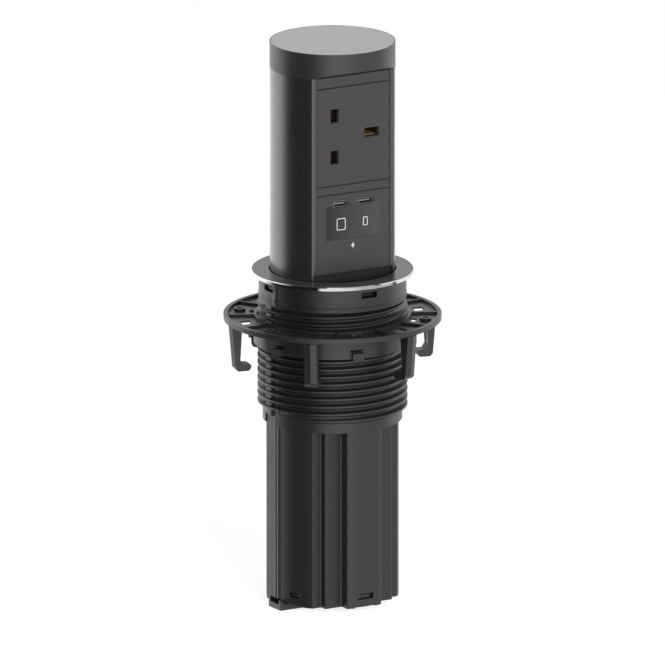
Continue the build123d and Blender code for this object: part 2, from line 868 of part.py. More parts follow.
def make_tower_foot():
    shape = upward(d_face(tower_r, tower_flat, corner_r), foot_low_z, tower_low_z)
    shape -= upward(d_face(tower_r - foot_wall, foot_core_front), foot_low_z + foot_floor, tower_low_z + overrun)
    plug_r, plug_flat = inner_r - slip_gap, plate_back - slip_gap
    plug = upward(d_face(plug_r, plug_flat), tower_low_z, tower_low_z + plug_high)
    plug -= upward(d_face(plug_r - plug_wall, plug_flat - plug_wall), tower_low_z - overrun,
                   tower_low_z + plug_high + overrun)
    for x, y in ports:
        plug -= stud(port_r + running_gap, tower_low_z - overrun, tower_low_z + plug_high + overrun, x, y)
    shape += plug
    for x, y in ports:
        shape += stud(port_r + screw_head_gap, foot_low_z + foot_floor / 2, tower_low_z, x, y)
    for side in (-1, 1):
        centre = side * reel_x
        inner = reel_half + reel_room
        for edge in (-1, 1):
            near, far = sorted((centre + edge * inner, centre + edge * (inner + cheek_thick)))
            shape += block(near, far, -cheek_out, -tower_flat + cheek_thick, foot_low_z, barrel_top_z)
        pocket = drum_r + 2 * reel_room
        shape -= block(centre - inner, centre + inner, -cheek_out - overrun, reel_y + pocket,
                       mech_z - pocket, mech_z + pocket)
        hole = reel_pin_half + pin_gap
        shape -= bar_x(reel_pin_r, centre - hole, centre + hole, reel_y, mech_z)
    shape -= bar_y(damper_r + pin_gap, -tower_flat - overrun, damper_rear, 0, mech_z)
    shape -= block(-cable_hole_half, cable_hole_half, cable_hole_front, cable_hole_rear,
                   foot_low_z - overrun, foot_low_z + foot_floor + overrun)
    seat_z = foot_low_z + screw_head_high + screw_head_gap
    for x, y in ports:
        shape -= stud(screw_hole_r, foot_low_z - overrun, tower_low_z + overrun, x, y)
        shape -= stud(screw_head_r + screw_head_gap, foot_low_z - overrun, seat_z, x, y)
    return shape


def make_foot_screws():
    seat_z = foot_low_z + screw_head_high + screw_head_gap
    length = tower_low_z - seat_z + screw_reach
    one = Rot(180, 0, 0) * screw(screw_r, screw_head_r, screw_head_high, length)
    return [Pos(x, y, seat_z) * one for x, y in ports]


def make_striker():
    return post(striker_r, foot_low_z - striker_high, foot_low_z, 0, latch_y)


def make_damper_body():
    shape = bar_y(damper_r, damper_front, damper_rear, 0, mech_z)
    bore = damper_shaft_r + pin_gap
    return shape - bar_y(bore, damper_front - overrun, damper_front + damper_shaft_long + pin_gap, 0, mech_z)


def involute(angle):
    return math.tan(angle) - angle


def make_damper_pinion():
    """Ten involute teeth, necked at the root so that the rack's tips stay clear."""
    pressure = math.radians(pressure_angle)
    base = pitch_r * math.cos(pressure)
    at_pitch = (rack_pitch / 2 - gear_backlash) / 2 / pitch_r
    tip = pitch_r + pinion_addendum_share * gear_module
    root = pitch_r * pinion_root_share
    flank = []
    for radius in (base, (base + tip) / 2, tip):
        lean = involute(math.acos(min(1.0, base / radius)))
        flank.append((radius, at_pitch + involute(pressure) - lean))
    neck = (root, pinion_neck_share)
    points = []
    for tooth in range(pinion_teeth):
        centre = 2 * math.pi * tooth / pinion_teeth + math.pi
        for radius, half in [neck] + flank:
            points.append((radius, centre - half))
        for radius, half in reversed([neck] + flank):
            points.append((radius, centre + half))
    outline = [(r * math.cos(a), pinion_front, mech_z + r * math.sin(a)) for r, a in points]
    shape = extrude(make_face(Polyline(outline, close=True)), pinion_wide, dir=(0, 1, 0))
    end = damper_front + damper_shaft_long
    return shape + bar_y(damper_shaft_r, pinion_front + pinion_wide / 2, end, 0, mech_z)


def make_damper_rack():
    """Straight rack on the left wall of the barrel's middle rib, teeth towards the pinion."""
    back = -(rib_half - pad_wall)
    slope = math.tan(math.radians(pressure_angle))
    half = (rack_pitch / 2 - gear_backlash) / 2
    tip_x = -pitch_r + rack_addendum_share * gear_module
    root_x = -pitch_r - rack_dedendum_share * gear_module
    tip_half = half - rack_addendum_share * gear_module * slope
    root_half = half + rack_dedendum_share * gear_module * slope
    above = math.floor((barrel_top_z - rack_end_gap - root_half - mech_z) / rack_pitch - 0.5)
    below = math.ceil((travel + rack_low_spare) / rack_pitch)
    high = mech_z + (above + 0.5) * rack_pitch + root_half + rack_edge
    low = mech_z + (0.5 - below) * rack_pitch - root_half - rack_edge
    points = [(back, high), (root_x, high)]
    for step in range(above, -below - 1, -1):
        centre = mech_z + (step + 0.5) * rack_pitch
        if centre - root_half < low:
            break
        points += [(root_x, centre + root_half), (tip_x, centre + tip_half),
                   (tip_x, centre - tip_half), (root_x, centre - root_half)]
    points += [(root_x, low), (back, low)]
    outline = make_face(Polyline([(x, pinion_front - rack_edge, z) for x, z in points], close=True))
    return extrude(outline, pinion_wide + 2 * rack_edge, dir=(0, 1, 0))


def make_reel(side):
    """Drum of a wound spring strip, which turns on its pin."""
    centre = side * reel_x
    shape = bar_x(drum_r, centre - reel_half, centre + reel_half, reel_y, mech_z)
    return shape - bar_x(reel_bore_r, centre - reel_half - overrun, centre + reel_half + overrun, reel_y, mech_z)


def make_reel_pins():
    return [bar_x(reel_pin_r, side * reel_x - reel_pin_half, side * reel_x + reel_pin_half, reel_y, mech_z)
            for side in (-1, 1)]


def make_spring_strip(side):
    """Free stretch of a flat spring, from the guide ring down to its reel."""
    centre = side * reel_x
    back = reel_y - drum_r - running_gap
    return block(centre - strip_half, centre + strip_half, back - strip_thick, back, mech_z, guide_low_z)


def clamp_leg():
    """Leg along +X: an H section, with an inward hook at its foot."""
    top, hook_top = clamp_low_z + clamp_floor / 2, leg_low_z + hook_high
    foot_r = leg_out_r - leg_lean
    outline = [(leg_in_r, top), (leg_out_r, top), (foot_r, leg_low_z + hook_nose), (foot_r - hook_nose, leg_low_z),
               (hook_r + hook_nose, leg_low_z), (hook_r, leg_low_z + hook_nose),
               (hook_r, hook_top - hook_nose), (hook_r + hook_nose, hook_top),
               (leg_in_r - hook_root, hook_top), (leg_in_r, hook_top + hook_root)]
    face = make_face(Polyline([(x, -leg_half, z) for x, z in outline], close=True))
    shape = extrude(face, 2 * leg_half, dir=(0, 1, 0))
    width, channel_top = leg_half - leg_side, clamp_low_z - clamp_floor / 2
    web_in = leg_in_r + leg_web_in
    shape -= block(web_in + leg_web, clamp_r, -width, width, leg_low_z + leg_foot_high, channel_top)
    return shape - block(leg_in_r - overrun, web_in, -width, width, hook_top + hook_root, channel_top)


def make_clamp_ring():
    """Flange nut: a trough with ribs and screw bosses, a skirt with fingers, and hooked legs."""
    floor_top = clamp_low_z + clamp_floor
    rim_in = clamp_r - clamp_rim_wide
    shape = turned([(clamp_bore_r, clamp_skirt_z), (clamp_hub_r, clamp_skirt_z), (clamp_hub_r, clamp_low_z),
                    (clamp_r, clamp_low_z), (clamp_r, clamp_top_z), (rim_in, clamp_top_z), (rim_in, floor_top),
                    (clamp_hub_r, floor_top), (clamp_hub_r, clamp_top_z), (clamp_bore_r, clamp_top_z)])
    rib_in, rib_out = clamp_hub_r - clamp_hub_wall / 2, clamp_r - clamp_rim_wide / 2
    rib = block(rib_in, rib_out, -clamp_rib_half, clamp_rib_half, clamp_low_z + clamp_floor / 2,
                clamp_top_z - clamp_rib_low)
    first = finger_angle + 180.0 / clamp_rib_count
    shape += [spun(rib, first + 360.0 * index / clamp_rib_count) for index in range(clamp_rib_count)]
    turns = [360.0 * index / clamp_sector for index in range(clamp_sector)]
    finger = block(clamp_hub_r - clamp_hub_wall / 2, finger_out_r, -finger_half, finger_half,
                   clamp_skirt_z, clamp_skirt_z + finger_high)
    boss = post(boss_r, clamp_low_z, clamp_top_z, boss_at)
    leg = clamp_leg()
    for turn in turns:
        shape += spun(finger, finger_angle + turn)
        shape += spun(boss, finger_angle + turn)
        shape += spun(leg, leg_angle + turn)
    window_low = clamp_skirt_z + finger_high + finger_window_gap
    window = block(clamp_bore_r - overrun, clamp_hub_r + overrun, -finger_window_half, finger_window_half,
                   window_low, window_low + finger_window_high)
    core_leg = block(hook_r - core_gap, leg_in_r - core_gap, -leg_half - core_gap, leg_half + core_gap,
                     clamp_low_z - overrun, clamp_top_z + overrun)
    core_finger = block(clamp_hub_r, finger_out_r + core_gap, -finger_half - core_gap, finger_half + core_gap,
                        clamp_low_z - overrun, clamp_top_z + overrun)
    hole = post(boss_hole_r, clamp_low_z - overrun, clamp_top_z + overrun, boss_at)
    for turn in turns:
        shape -= spun(window, finger_angle + turn)
        shape -= spun(core_leg, leg_angle + turn)
        shape -= spun(core_finger, finger_angle + turn)
        shape -= spun(hole, finger_angle + turn)
    return shape


def sub_parts():
    """Every sub-part by its node name."""
    return {
        "bezel_ring": make_bezel_ring(),
        "bezel_gasket": make_bezel_gasket(),
        "threaded_collar": make_threaded_collar(),
        "guide_ring": make_guide_ring(),
        "barrel_front_shell": make_barrel_front_shell(),
        "barrel_rear_shell": make_barrel_rear_shell(),
        "end_cap": make_end_cap(),
        "cable_clamp": make_cable_clamp(),
        "cable_clamp_screws": make_cable_clamp_screws(),
        "damper_rack": make_damper_rack(),
        "latch_case": make_latch_case(),
        "latch_plunger": make_latch_plunger(),
        "latch_spring": make_latch_spring(),
        "latch_screws": make_latch_screws(),
        "spring_strip_left": make_spring_strip(-1),
        "spring_strip_right": make_spring_strip(1),
        "clamp_ring": make_clamp_ring(),
        "tower_profile": make_tower_profile(),
        "cap_ring": make_cap_ring(),
        "top_disc": make_top_disc(),
        "cap_screws": make_cap_screws(),
        "top_blank": make_top_blank(),
        "socket_plate": make_socket_plate(),
        "socket_base": make_socket_base(),
        "socket_shutter": make_socket_shutter(),
        "shutter_spring": make_shutter_spring(),
        "contact_neutral": make_contact(0),
        "contact_line": make_contact(1),
        "contact_earth": make_contact(2),
        "middle_blank": make_middle_blank(),
        "usb_plate": make_usb_plate(),
        "usb_window": make_usb_window(),
        "usb_port_left": make_usb_port(-port_pitch / 2),
        "usb_port_right": make_usb_port(port_pitch / 2),
        "usb_board": make_usb_board(),
        "lower_blank": make_lower_blank(),
        "tower_foot": make_tower_foot(),
        "foot_screws": make_foot_screws(),
        "striker": make_striker(),
        "damper_body": make_damper_body(),
        "damper_pinion": make_damper_pinion(),
        "reel_left": make_reel(-1),
        "reel_right": make_reel(1),
        "reel_pins": make_reel_pins(),
    }


def write_all():
    os.makedirs("parts", exist_ok=True)
    for name, shape in sub_parts().items():
        solids = shape if isinstance(shape, list) else [shape]
        whole = Compound(children=[Compound(s.solids()) for s in solids]) if len(solids) > 1 else solids[0]
        export_step(whole, f"parts/{name}.step")


write_all()
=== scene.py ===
# Looks of the pop up desk socket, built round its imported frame.
# Sizes and places are in millimetres unless a comment says otherwise, and MM turns them into Blender's metres.
# Azimuths are in degrees from +X towards +Y, and heights are above the worktop's surface.
import json
import math

import bmesh
import bpy
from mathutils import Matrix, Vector


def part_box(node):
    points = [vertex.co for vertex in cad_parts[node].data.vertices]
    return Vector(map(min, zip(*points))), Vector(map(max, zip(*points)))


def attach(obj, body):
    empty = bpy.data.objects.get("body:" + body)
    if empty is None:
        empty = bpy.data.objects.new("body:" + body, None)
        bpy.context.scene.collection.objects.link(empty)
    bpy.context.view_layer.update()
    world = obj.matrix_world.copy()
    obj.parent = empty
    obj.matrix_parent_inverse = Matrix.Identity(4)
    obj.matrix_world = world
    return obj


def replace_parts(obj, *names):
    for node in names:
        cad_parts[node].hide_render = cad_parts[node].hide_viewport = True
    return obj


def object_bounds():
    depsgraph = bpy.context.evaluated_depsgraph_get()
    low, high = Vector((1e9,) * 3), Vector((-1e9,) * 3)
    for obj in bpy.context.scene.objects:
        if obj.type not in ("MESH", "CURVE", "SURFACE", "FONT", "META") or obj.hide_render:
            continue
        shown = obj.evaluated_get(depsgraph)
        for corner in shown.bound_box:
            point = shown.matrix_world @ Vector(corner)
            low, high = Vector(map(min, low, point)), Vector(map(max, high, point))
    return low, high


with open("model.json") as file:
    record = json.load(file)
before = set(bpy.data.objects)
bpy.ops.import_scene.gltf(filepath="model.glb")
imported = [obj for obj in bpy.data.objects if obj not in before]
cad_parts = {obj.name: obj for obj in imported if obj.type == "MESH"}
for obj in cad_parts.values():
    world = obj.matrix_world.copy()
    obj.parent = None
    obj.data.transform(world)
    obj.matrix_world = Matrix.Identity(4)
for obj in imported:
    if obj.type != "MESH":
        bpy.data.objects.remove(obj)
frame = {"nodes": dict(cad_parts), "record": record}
CAD_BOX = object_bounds()
NODES = frame["nodes"]
MM = 0.001

# Camera, whose distances are in metres
VIEW_AZIMUTH = -30.0
VIEW_ELEVATION = 14.4
VIEW_TARGET = (0.0, 0.0, -32.9)
CAMERA_FAR = 15.0
CAMERA_SEES = 100.0
LENS_PER_METRE = 103.8
FRONT = 270.0 + VIEW_AZIMUTH

# Lamps: name, degrees to the right of the camera, and watts. Their distance and size are in metres
LAMPS = (("key", 22.0, 30.0), ("fill", -42.0, 13.0))
LAMP_ELEVATION = 13.0
LAMP_FAR = 2.2
LAMP_SIZE = 1.1

# World: level of its light, share of it that is left overhead, and the rise of a ray over which it falls to that
AMBIENT = 0.45
CEILING = 0.15
CEILING_RISE = (0.35, 0.9)
# Degrees to the right of the camera, and the level that reflections find there
SURROUNDINGS = ((-180, 1.05), (-168, 1.5), (-112, 1.5), (-92, 0.03), (-60, 0.01), (-21, 0.02), (-16, 1.15),
                (25, 1.05), (45, 0.62), (92, 0.66), (97, 0.08), (101, 0.08), (105, 1.3), (130, 1.15), (180, 1.05))

# Floor, whose radius is in metres
FLOOR_RADIUS = 30.0
FLOOR_SIDES = 64
FLOOR_BELOW = 0.2
FLOOR_COLOUR = (0.8, 0.8, 0.8)
FLOOR_GRAIN = 25.0
FLOOR_MOTTLE = (0.98, 1.02)
FLOOR_ROUGH = 0.9
FLOOR_GLOW = 0.76

# What all finishes share: levels between which a noise mostly lies, sizes and detail of the fine and the broad
# pattern, their shares in the gloss, the bump's strength, and how quickly a bent normal counts as an edge
NOISE_LOW, NOISE_HIGH = 0.25, 0.75
NOISE_DETAIL = 3.0
FINE_DETAIL = 4.0
BROAD_SIZE = 18.0
BROAD_GLOSS = 0.04
FINE_GLOSS = 0.03
BUMP_STRENGTH = 0.6
EDGE_GAIN = 8.0
BEVEL_SAMPLES = 4

# Tints of the mirrored light. Plastics mirror it a little warmer than it is
NEUTRAL = (1.0, 1.0, 1.0, 1.0)
WARM = (1.0, 0.965, 0.91, 1.0)

# Finish of each slot of the record
PLASTIC = dict(grain=0.3, relief=0.02, specular=1.0, tinted=WARM)
STEEL = dict(metal=1.0, grain=0.12, relief=0.006, mottle=0.06, edge=0.12, wear=1.1)
FINISHES = {
    "bezel": dict(colour=(0.085, 0.084, 0.082), rough=0.17, grain=0.2, relief=0.004, specular=0.17),
    "gasket": dict(colour=(0.012, 0.012, 0.012), rough=0.85, grain=0.25, relief=0.08),
    "collar": dict(colour=(0.011, 0.0107, 0.0104), rough=0.44, edge=0.15, **PLASTIC),
    "guide": dict(colour=(0.012, 0.012, 0.012), rough=0.35, **PLASTIC),
    "barrel": dict(colour=(0.012, 0.0117, 0.0112), rough=0.46, edge=0.6, **PLASTIC),
    "end_cap": dict(colour=(0.012, 0.0117, 0.0113), rough=0.46, **PLASTIC),
    "inner_plastic": dict(colour=(0.012, 0.012, 0.0125), rough=0.5, **PLASTIC),
    "white_plastic": dict(colour=(0.62, 0.61, 0.56), rough=0.4, grain=0.4, relief=0.01, wear=1.0),
    "screws": dict(colour=(0.52, 0.52, 0.54), rough=0.3, **STEEL),
    "spring_steel": dict(colour=(0.42, 0.42, 0.43), rough=0.28, stretch=(1, 1, 20), **STEEL),
    "clamp": dict(colour=(0.013, 0.0127, 0.0121), rough=0.45, **PLASTIC),
    "tower": dict(colour=(0.168, 0.162, 0.171), rough=0.28, metal=0.92, grain=0.22, relief=0.0004,
                  stretch=(1, 1, 120), mottle=0.015, edge=0.5, wear=1.0),
    "cap": dict(colour=(0.019, 0.0187, 0.0184), rough=0.40, grain=0.2, relief=0.006, stretch=(50, 50, 1),
                mottle=0.05, edge=0.2, wear=1.4, specular=1.0, tinted=WARM),
    "disc": dict(colour=(0.300, 0.296, 0.291), rough=0.34, metal=1.0, grain=1.1, relief=0.02, stretch=(60, 1, 1),
                 turn=11.0, mottle=0.22, edge=0.12, wear=0.6),
    "face": dict(colour=(0.036, 0.0355, 0.034), rough=0.42, grain=0.18, relief=0.012, mottle=0.04, wear=1.25,
                 specular=0.9, tinted=WARM),
    "lower_face": dict(colour=(0.018, 0.018, 0.018), rough=0.5, grain=0.18, relief=0.014, mottle=0.04,
                       tinted=WARM),
    "contacts": dict(colour=(0.85, 0.52, 0.19), rough=0.30, metal=0.6, grain=0.12, relief=0.006),
    "window": dict(colour=(0.014, 0.014, 0.0135), rough=0.10, grain=0.5, relief=0.001, mottle=0.03, coat=0.6),
    "port_shell": dict(colour=(0.42, 0.42, 0.43), rough=0.30, **STEEL),
    "board": dict(colour=(0.018, 0.085, 0.040), rough=0.35, grain=0.6, relief=0.03, mottle=0.2, coat=0.3),
    "damper": dict(colour=(0.030, 0.030, 0.033), rough=0.25, grain=0.4, relief=0.008),
    "shutter": dict(colour=(0.007, 0.0012, 0.002), rough=0.42, grain=0.3, relief=0.012, wear=1.15, specular=0.2),
    "reel": dict(colour=(0.45, 0.45, 0.46), rough=0.3, stretch=(20, 1, 1), **STEEL),
}
WHITE_PRINT = dict(colour=(0.80, 0.80, 0.78), rough=0.5, grain=0.15, relief=0.004, edge=0.02, wear=1.0)

# Polished edge of the bezel, outside a radius
CHROME_R = 42.15
CHROME_COLOUR = (0.64, 0.64, 0.635)
CHROME_MOTTLE = (0.96, 1.03)
CHROME_MOTTLE_SIZE = 9.0
CHROME_MOTTLE_DETAIL = 2.0
CHROME_ROUGH = (0.03, 0.06)
CHROME_EDGE = 0.2
HAIRLINE = 0.1
HAIRLINE_STRETCH = (12, 12, 1)
HAIRLINE_STRENGTH = 0.15
HAIRLINE_RELIEF = 0.002

# Painted shade on the bezel under the worktop's surface, where its snap hooks sit in their windows: the depth over
# which its colour fades, and the share of it that is left
PAINTED_SHADE_FADE = 0.3
PAINTED_SHADE_SHARE = 0.12

# Smoked panel of the charging module, and the painted sheen across it: the levels its colour is multiplied by at its
# left and its right end, in place of a reflection
WINDOW_HALF = 16.0
PAINTED_SHEEN_ENDS = (0.6, 4.0)

# Angle in degrees from which an edge stays a crease
CREASE = 30.0

# Collar's thread. Its turns run out over a small step at each end
PITCH = 4.0
CREST_R = 39.2
ROOT_R = 36.3
SMOOTH_R = 38.55
BAND_R = 36.5
THREAD_TOP = -13.0
THREAD_END = -72.9
FIRST_CREST = -15.4
CREST_HALF = 0.5
END_STEP = 0.35
END_MARGIN = 1.5 * END_STEP
RUN_OUT = 1.6
GROOVE_STEPS = 8
THREAD_TURNS = round((THREAD_TOP - THREAD_END) / PITCH) + 2
THREAD_COLUMNS = 160

# Filled strip on each side of the thread, and the domes in its valleys
FILLED_R = 37.5
FILLED_MIDDLE = 177.7
FILLED_HALF = 4.3
FILLED_EDGE_HALF = 0.15
DOME_AZIMUTH = 190.0
DOME_R = 0.75
DOME_PROUD = 0.1
DOME_COUNT = 14

# Faint moulded line round the smooth part of the collar
LINE_HEIGHT = -10.4
LINE_HALF = 0.25
LINE_PROUD = 0.25
LINE_SUNK = 0.3
LINE_STEPS = 180

# Hooks that stand back in their windows: the share of their size that is left, and how far they stand back and reach
HOOK_SHARE = 0.6
HOOK_SUNK = 0.8
HOOK_REACH = 1.5
# Middle height, least radius and azimuths of the hooks
BEZEL_HOOKS = (-4.3, 37.0, (0.0, 90.0, 180.0, 270.0))
CAP_HOOKS = (-167.3, 34.0, (270.0, 205.0, 335.0, 140.0, 40.0))

# Floor of the cable outlet, which is raised above that of the solid
OUTLET_FLOOR = -175.9
OUTLET_RAISED = 2.2

# Windows over the clamp ring's fingers, inside its skirt
FINGER_WINDOW_TOP = -30.1
FINGER_WINDOW_DROP = 2.3
SKIRT_R = 44.0

# Clamp ring's legs, which are slimmer than in the solid, and their hooks
LEG_TOP = -24.9
LEG_AZIMUTH = 48.0
LEG_STEP = 60.0
LEG_HALF = 3.6
LEG_INNER = 50.7
LEG_SLIMMER = 1.0
LEG_HOOK_TOP = -44.5
LEG_HOOK_LOWER = 0.8

# Channel in the outside of each leg's solid, with the distances of its floor and its mouth from the axis
CHANNEL_HALF = 2.0
CHANNEL_FLOOR = 53.1
CHANNEL_MOUTH = 53.6

# Low ridge that takes the channel's place: half its crest's and its foot's width, its crest's distance from the axis
# at the leg's top, and how much nearer to the axis it comes with each millimetre down
RIDGE_HALF = 0.05
RIDGE_FOOT = 3.3
RIDGE_R = 56.7
RIDGE_LEAN = 2.0 / 23.3

# White marks on the face: name, width, height and place across
DEVICE_MARKS = (("tablet_mark", 5.3, 6.4, -7.25), ("phone_mark", 2.8, 4.8, 7.25))
DEVICE_HEIGHT = 31.0
DEVICE_LINE = 0.42
DEVICE_CORNER = 0.7
DEVICE_INNER_CORNER = 0.35
CORNER_STEPS = 6
BOLT = ((0.5, 1.9), (-1.25, -0.35), (-0.15, -0.35), (-0.5, -1.9), (1.25, 0.35), (0.15, 0.35))
BOLT_PLACE = (-0.2, 19.0)
MARK_PROUD = 0.04

# How near two points of a solid, or of the thread, are merged
SAME_POINT = 0.002
SAME_THREAD_POINT = 0.0005

# How near a point counts as standing at a named place, and how far past the band a face counts as outside it
NEAR = 0.1
OUTSIDE = 0.2


def wrap(angle, whole=360.0):
    """Angle within half a turn of zero."""
    return (angle + whole / 2) % whole - whole / 2


def polar(radius, azimuth, height):
    angle = math.radians(azimuth)
    return Vector((radius * math.cos(angle), radius * math.sin(angle), height)) * MM


def towards(right, up):
    """Direction from the object, by degrees to the right of its own front and above the horizon."""
    azimuth, elevation = math.radians(right), math.radians(up)
    return Vector((math.sin(azimuth) * math.cos(elevation), -math.cos(azimuth) * math.cos(elevation),
                   math.sin(elevation)))


def feed(tree, socket, value):
    """Links a socket to another node's output, or sets it to a plain value."""
    if hasattr(value, "links"):
        tree.links.new(value, socket)
    else:
        socket.default_value = value


def operate(tree, kind, operation, values):
    node = tree.nodes.new(kind)
    node.operation = operation
    for socket, value in zip(node.inputs, values):
        feed(tree, socket, value)
    return node.outputs


def math_node(tree, operation, *values):
    return operate(tree, "ShaderNodeMath", operation, values)["Value"]


def vector_node(tree, operation, *values):
    return operate(tree, "ShaderNodeVectorMath", operation, values)


def own_place(tree):
    return tree.nodes.new("ShaderNodeTexCoord").outputs["Object"]


def axes(tree, vector):
    node = tree.nodes.new("ShaderNodeSeparateXYZ")
    tree.links.new(vector, node.inputs[0])
    return node.outputs


def noise(tree, vector, size, detail=NOISE_DETAIL, stretch=(1, 1, 1), turn=0.0):
    """Noise over the object's own place, drawn out along axes that are turned about Z."""
    mapping = tree.nodes.new("ShaderNodeMapping")
    mapping.vector_type = "TEXTURE"
    mapping.inputs["Rotation"].default_value = (0, 0, math.radians(turn))
    mapping.inputs["Scale"].default_value = stretch
    tree.links.new(vector, mapping.inputs["Vector"])
    node = tree.nodes.new("ShaderNodeTexNoise")
    node.inputs["Scale"].default_value = 1 / (size * MM)
    node.inputs["Detail"].default_value = detail
    tree.links.new(mapping.outputs[0], node.inputs["Vector"])
    return node.outputs["Fac"]


def between(tree, value, start, end, low, high):
    """Level that goes from low to high while the value goes from start to end."""
    node = tree.nodes.new("ShaderNodeMapRange")
    for name, level in (("Value", value), ("From Min", start), ("From Max", end), ("To Min", low), ("To Max", high)):
        feed(tree, node.inputs[name], level)
    return node.outputs[0]


def spread(tree, value, low, high):
    """Noise, whose values lie about the middle, spread between two levels."""
    return between(tree, value, NOISE_LOW, NOISE_HIGH, low, high)


def tint(tree, colour, factor):
    """Colour multiplied by a grey factor."""
    node = tree.nodes.new("ShaderNodeVectorMath")
    node.operation = "SCALE"
    feed(tree, node.inputs[0], colour)
    feed(tree, node.inputs["Scale"], factor)
    return node.outputs[0]


def soft_edges(tree, radius):
    node = tree.nodes.new("ShaderNodeBevel")
    node.samples = BEVEL_SAMPLES
    node.inputs["Radius"].default_value = radius * MM
    return node.outputs[0]


def edge_wear(tree, rounded, light):
    """Factor that is 1 on flats and goes to light on worn edges."""
    normal = tree.nodes.new("ShaderNodeNewGeometry").outputs["Normal"]
    facing = vector_node(tree, "DOT_PRODUCT", rounded, normal)["Value"]
    away = math_node(tree, "SUBTRACT", 1.0, facing)
    sharp = math_node(tree, "MINIMUM", math_node(tree, "MULTIPLY", away, EDGE_GAIN), 1.0)
    return math_node(tree, "ADD", math_node(tree, "MULTIPLY", sharp, light - 1.0), 1.0)


def bump(tree, height, normal, strength, depth):
    node = tree.nodes.new("ShaderNodeBump")
    node.inputs["Strength"].default_value = strength
    node.inputs["Distance"].default_value = depth * MM
    tree.links.new(height, node.inputs["Height"])
    tree.links.new(normal, node.inputs["Normal"])
    return node.outputs[0]


def new_material(name):
    material = bpy.data.materials.new(name)
    material.use_nodes = True
    tree = material.node_tree
    return material, tree, tree.nodes["Principled BSDF"].inputs


def finish(name, colour, rough, metal=0.0, grain=0.35, relief=0.02, stretch=(1, 1, 1), turn=0.0,
           mottle=0.08, edge=0.25, wear=1.35, specular=0.5, coat=0.0, tinted=NEUTRAL):
    """Surface with a grain, soft edges that are a little worn, and an uneven colour and gloss."""
    material, tree, inputs = new_material(name)
    place = own_place(tree)
    fine = noise(tree, place, grain, FINE_DETAIL, stretch, turn)
    broad = noise(tree, place, BROAD_SIZE)
    rounded = soft_edges(tree, edge)
    shade = math_node(tree, "MULTIPLY", spread(tree, broad, 1 - mottle / 2, 1 + mottle / 2),
                      spread(tree, fine, 1 - mottle, 1 + mottle))
    shade = math_node(tree, "MULTIPLY", shade, edge_wear(tree, rounded, wear))
    tree.links.new(tint(tree, colour, shade), inputs["Base Color"])
    gloss = math_node(tree, "ADD", spread(tree, broad, -BROAD_GLOSS, BROAD_GLOSS),
                      spread(tree, fine, rough - FINE_GLOSS, rough + FINE_GLOSS))
    tree.links.new(gloss, inputs["Roughness"])
    tree.links.new(bump(tree, fine, rounded, BUMP_STRENGTH, relief), inputs["Normal"])
    inputs["Metallic"].default_value = metal
    inputs["Specular IOR Level"].default_value = specular
    inputs["Specular Tint"].default_value = tinted
    inputs["Coat Weight"].default_value = coat
    return material


def shade_along(material, axis, start, end, low, high):
    """Paints light or shade on a finish: multiplies its colour by a level that changes along an axis."""
    tree = material.node_tree
    colour = tree.nodes["Principled BSDF"].inputs["Base Color"]
    level = between(tree, axes(tree, own_place(tree))[axis], start * MM, end * MM, low, high)
    tree.links.new(tint(tree, colour.links[0].from_socket, level), colour)


def polish_edge(material):
    """Polished metal outside a radius from the axis, over a finish that stays inside it."""
    tree = material.node_tree
    place = own_place(tree)
    flat = vector_node(tree, "MULTIPLY", place, (1, 1, 0))["Vector"]
    radius = vector_node(tree, "LENGTH", flat)["Value"]
    polished = tree.nodes.new("ShaderNodeBsdfPrincipled")
    polished.inputs["Metallic"].default_value = 1.0
    hairline = noise(tree, place, HAIRLINE, stretch=HAIRLINE_STRETCH)
    broad = noise(tree, place, CHROME_MOTTLE_SIZE, CHROME_MOTTLE_DETAIL)
    colour = tint(tree, CHROME_COLOUR, spread(tree, broad, *CHROME_MOTTLE))
    normal = bump(tree, hairline, soft_edges(tree, CHROME_EDGE), HAIRLINE_STRENGTH, HAIRLINE_RELIEF)
    tree.links.new(colour, polished.inputs["Base Color"])
    tree.links.new(spread(tree, hairline, *CHROME_ROUGH), polished.inputs["Roughness"])
    tree.links.new(normal, polished.inputs["Normal"])
    mix = tree.nodes.new("ShaderNodeMixShader")
    tree.links.new(math_node(tree, "GREATER_THAN", radius, CHROME_R * MM), mix.inputs[0])
    tree.links.new(tree.nodes["Principled BSDF"].outputs[0], mix.inputs[1])
    tree.links.new(polished.outputs[0], mix.inputs[2])
    tree.links.new(mix.outputs[0], tree.nodes["Material Output"].inputs["Surface"])


def slot_finishes():
    """Material of each slot of the record."""
    finishes = {slot: finish(slot, **look) for slot, look in FINISHES.items()}
    # Painted shade: the bezel's colour is darkened below the worktop's surface, over its snap hooks
    shade_along(finishes["bezel"], "Z", -PAINTED_SHADE_FADE, 0.0, PAINTED_SHADE_SHARE, 1.0)
    polish_edge(finishes["bezel"])
    # Painted sheen: the panel's colour is darker at its left end and lighter at its right end, standing in for a
    # reflection
    shade_along(finishes["window"], "X", -WINDOW_HALF, WINDOW_HALF, *PAINTED_SHEEN_ENDS)
    return finishes


def dress_nodes(finishes):
    for part in frame["record"]["subparts"]:
        mesh = NODES[part["node"]].data
        mesh.materials.clear()
        mesh.materials.append(finishes[part["material_slot"]])


def add_object(name, data):
    made = bpy.data.objects.new(name, data)
    bpy.context.scene.collection.objects.link(made)
    return made


def add_piece(name, bm, material, body):
    """Mesh object that rides on a body, with its sharper edges kept as creases."""
    mesh = bpy.data.meshes.new(name)
    bmesh.ops.recalc_face_normals(bm, faces=bm.faces)
    bm.to_mesh(mesh)
    bm.free()
    mesh.shade_smooth()
    mesh.set_sharp_from_angle(angle=math.radians(CREASE))
    mesh.materials.append(material)
    piece = add_object(name, mesh)
    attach(piece, body)
    return piece


def mesh_of(node):
    """Copy of a node's own mesh, to be changed."""
    bm = bmesh.new()
    bm.from_mesh(NODES[node].data)
    return bm


